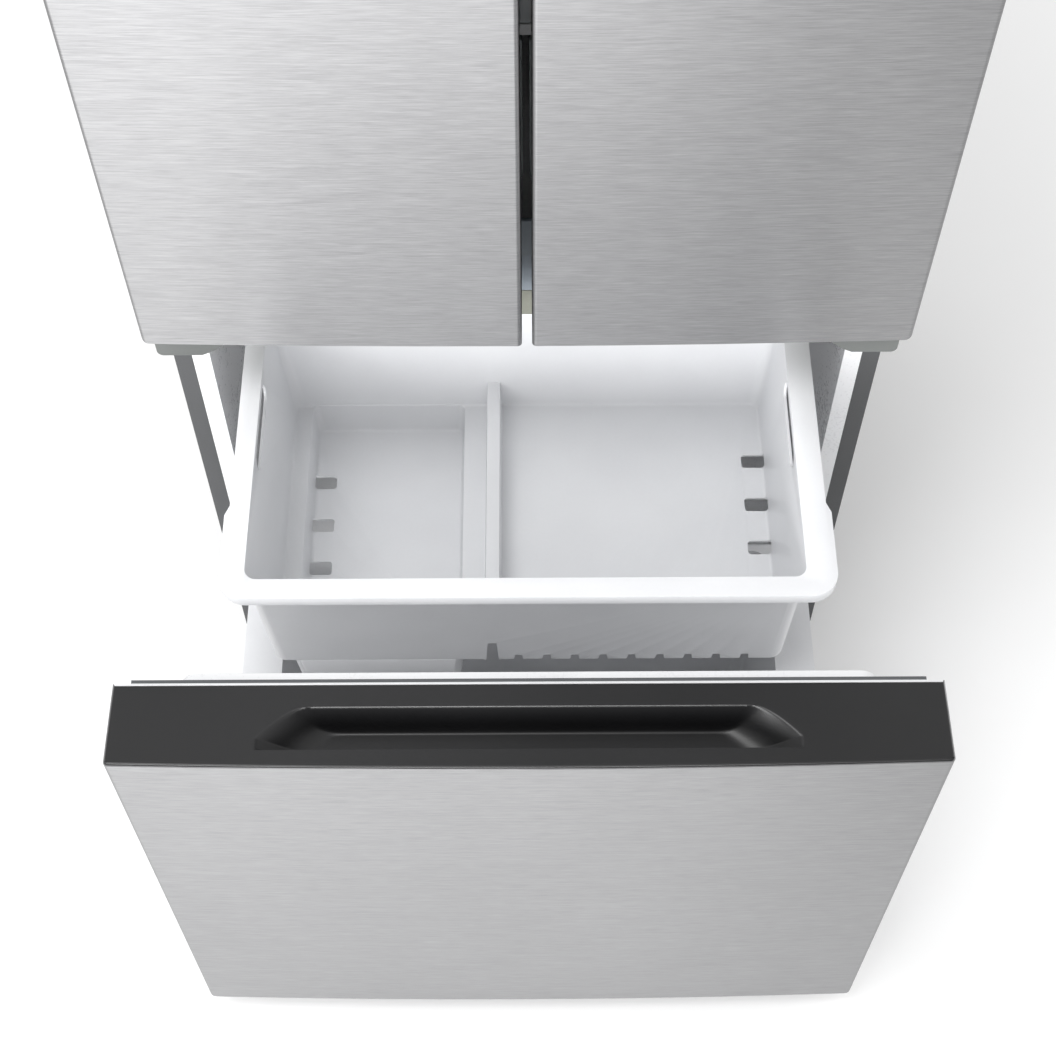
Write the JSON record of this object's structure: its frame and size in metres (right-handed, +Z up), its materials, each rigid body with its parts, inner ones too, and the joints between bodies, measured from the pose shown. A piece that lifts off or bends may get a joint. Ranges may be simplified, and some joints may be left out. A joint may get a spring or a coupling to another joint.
{
  "type": "french door refrigerator",
  "caption": "French door refrigerator with two contoured steel doors over a pull-out freezer drawer with handle pocket and nested white baskets",
  "frame": {"origin": "on the floor, under the middle of the whole object with its freezer drawer pulled out as at rest", "axes": "+X to the right as seen from the front, +Y towards the rear wall, +Z up"},
  "size_m": [0.835, 1.235, 1.79],
  "materials": {
    "stainless": "fine horizontal brushed grain, satin",
    "cabinet_grey": "fine textured dark grey paint",
    "hinge_cover_grey": "moulded dark grey plastic",
    "charcoal_plastic": "satin black moulded plastic",
    "white_liner": "vacuum formed glossy white plastic",
    "white_basket": "moulded white plastic",
    "clear_bin": "clear moulded bin plastic",
    "shelf_glass": "tempered glass",
    "white_trim": "moulded white trim",
    "seal_grey": "soft magnetic seal",
    "galvanised": "bright zinc plated steel",
    "steel_rail": "primed steel",
    "rail_cover_grey": "moulded blue grey plastic",
    "foam": "rigid polyurethane foam",
    "black_steel": "black enamelled steel",
    "coil_metal": "bare aluminium fins and tube",
    "fan_plastic": "moulded fan blades",
    "chrome_screw": "plated screws",
    "black_rubber": "hard rubber tyre",
    "light_lens": "frosted lens"
  },
  "bodies": {
    "cabinet": {"base_pan": "galvanised", "basket_rails": "white_trim", "cabinet_shell": "cabinet_grey", "ceiling_light_lens": "light_lens", "center_hinge_covers": "hinge_cover_grey", "center_hinges": "galvanised", "center_rail": "steel_rail", "compressor": "black_steel", "condenser_coil": "coil_metal", "condenser_fan_bracket": "charcoal_plastic", "crisper_drawers": "clear_bin", "drain_pan": "charcoal_plastic", "evaporator": "coil_metal", "foam_insulation": "foam", "freezer_evaporator_cover": "white_liner", "freezer_liner": "white_liner", "fridge_air_duct": "white_trim", "fridge_liner": "white_liner", "hinge_screws": "chrome_screw", "machine_cover": "galvanised", "pantry_drawer": "clear_bin", "power_inlet": "charcoal_plastic", "rail_cover": "rail_cover_grey", "rear_panel": "galvanised", "shelf_frames": "white_trim", "shelf_glass": "shelf_glass", "shelf_ladders": "galvanised", "slide_outer_members": "galvanised", "toe_grille": "charcoal_plastic", "top_hinge_covers": "hinge_cover_grey", "top_hinges": "galvanised"},
    "left_door": {"left_door_bins": "clear_bin", "left_door_caps": "charcoal_plastic", "left_door_foam": "foam", "left_door_gasket": "seal_grey", "left_door_liner": "white_liner", "left_door_skin": "stainless"},
    "right_door": {"right_door_bins": "clear_bin", "right_door_caps": "charcoal_plastic", "right_door_foam": "foam", "right_door_gasket": "seal_grey", "right_door_liner": "white_liner", "right_door_skin": "stainless"},
    "mullion": {"mullion": "rail_cover_grey"},
    "freezer_drawer": {"drawer_skin": "stainless", "drawer_cap": "charcoal_plastic", "drawer_foam": "foam", "drawer_liner": "white_liner", "drawer_gasket": "seal_grey", "drawer_brackets": "galvanised", "slide_inner_members": "galvanised", "lower_basket": "white_basket"},
    "slide_middle": {"slide_middle_members": "galvanised"},
    "upper_basket": {"upper_basket": "white_basket"},
    "condenser_fan": {"condenser_fan": "fan_plastic"},
    "evaporator_fan": {"evaporator_fan": "fan_plastic"},
    "left_foot": {"left_levelling_foot": "galvanised"},
    "right_foot": {"right_levelling_foot": "galvanised"},
    "left_roller": {"left_rear_roller": "black_rubber"},
    "right_roller": {"right_rear_roller": "black_rubber"}
  },
  "joints": [
    {"name": "left_door_hinge", "type": "hinge", "parent": "cabinet", "child": "left_door", "pos_m": [-0.398, -0.1025, 1.29], "axis": [0, 0, -1], "range_deg": [0, 120]},
    {"name": "right_door_hinge", "type": "hinge", "parent": "cabinet", "child": "right_door", "pos_m": [0.398, -0.1025, 1.29], "axis": [0, 0, 1], "range_deg": [0, 120]},
    {"name": "mullion_flip", "type": "hinge", "parent": "left_door", "child": "mullion", "pos_m": [-0.02, -0.034, 1.29], "axis": [0, 0, -1], "range_deg": [0, 90]},
    {"name": "freezer_drawer_slide", "type": "slide", "parent": "cabinet", "child": "freezer_drawer", "axis": [0, -1, 0], "range_m": [-0.471, 0.015]},
    {"name": "slide_middle_travel", "type": "slide", "parent": "cabinet", "child": "slide_middle", "axis": [0, -1, 0], "range_m": [-0.2356, 0.0076]},
    {"name": "upper_basket_slide", "type": "slide", "parent": "cabinet", "child": "upper_basket", "axis": [0, -1, 0], "range_m": [-0.376, 0.012]},
    {"name": "condenser_fan_spin", "type": "hinge", "parent": "cabinet", "child": "condenser_fan", "pos_m": [-0.068, 0.4905, 0.122], "axis": [1, 0, 0], "continuous": true},
    {"name": "evaporator_fan_spin", "type": "hinge", "parent": "cabinet", "child": "evaporator_fan", "pos_m": [0, 0.4875, 0.63], "axis": [0, 1, 0], "continuous": true},
    {"name": "left_foot_screw", "type": "hinge", "parent": "cabinet", "child": "left_foot", "pos_m": [-0.3775, -0.0085, 0.02], "axis": [0, 0, 1], "continuous": true},
    {"name": "right_foot_screw", "type": "hinge", "parent": "cabinet", "child": "right_foot", "pos_m": [0.3775, -0.0085, 0.02], "axis": [0, 0, 1], "continuous": true},
    {"name": "left_roller_spin", "type": "hinge", "parent": "cabinet", "child": "left_roller", "pos_m": [-0.3715, 0.5575, 0.016], "axis": [1, 0, 0], "continuous": true},
    {"name": "right_roller_spin", "type": "hinge", "parent": "cabinet", "child": "right_roller", "pos_m": [0.3715, 0.5575, 0.016], "axis": [1, 0, 0], "continuous": true}
  ],
  "couplings": [
    {"joint": "slide_middle_travel", "follows": "freezer_drawer_slide", "ratio": 0.5},
    {"joint": "upper_basket_slide", "follows": "freezer_drawer_slide", "ratio": 0.798}
  ]
}
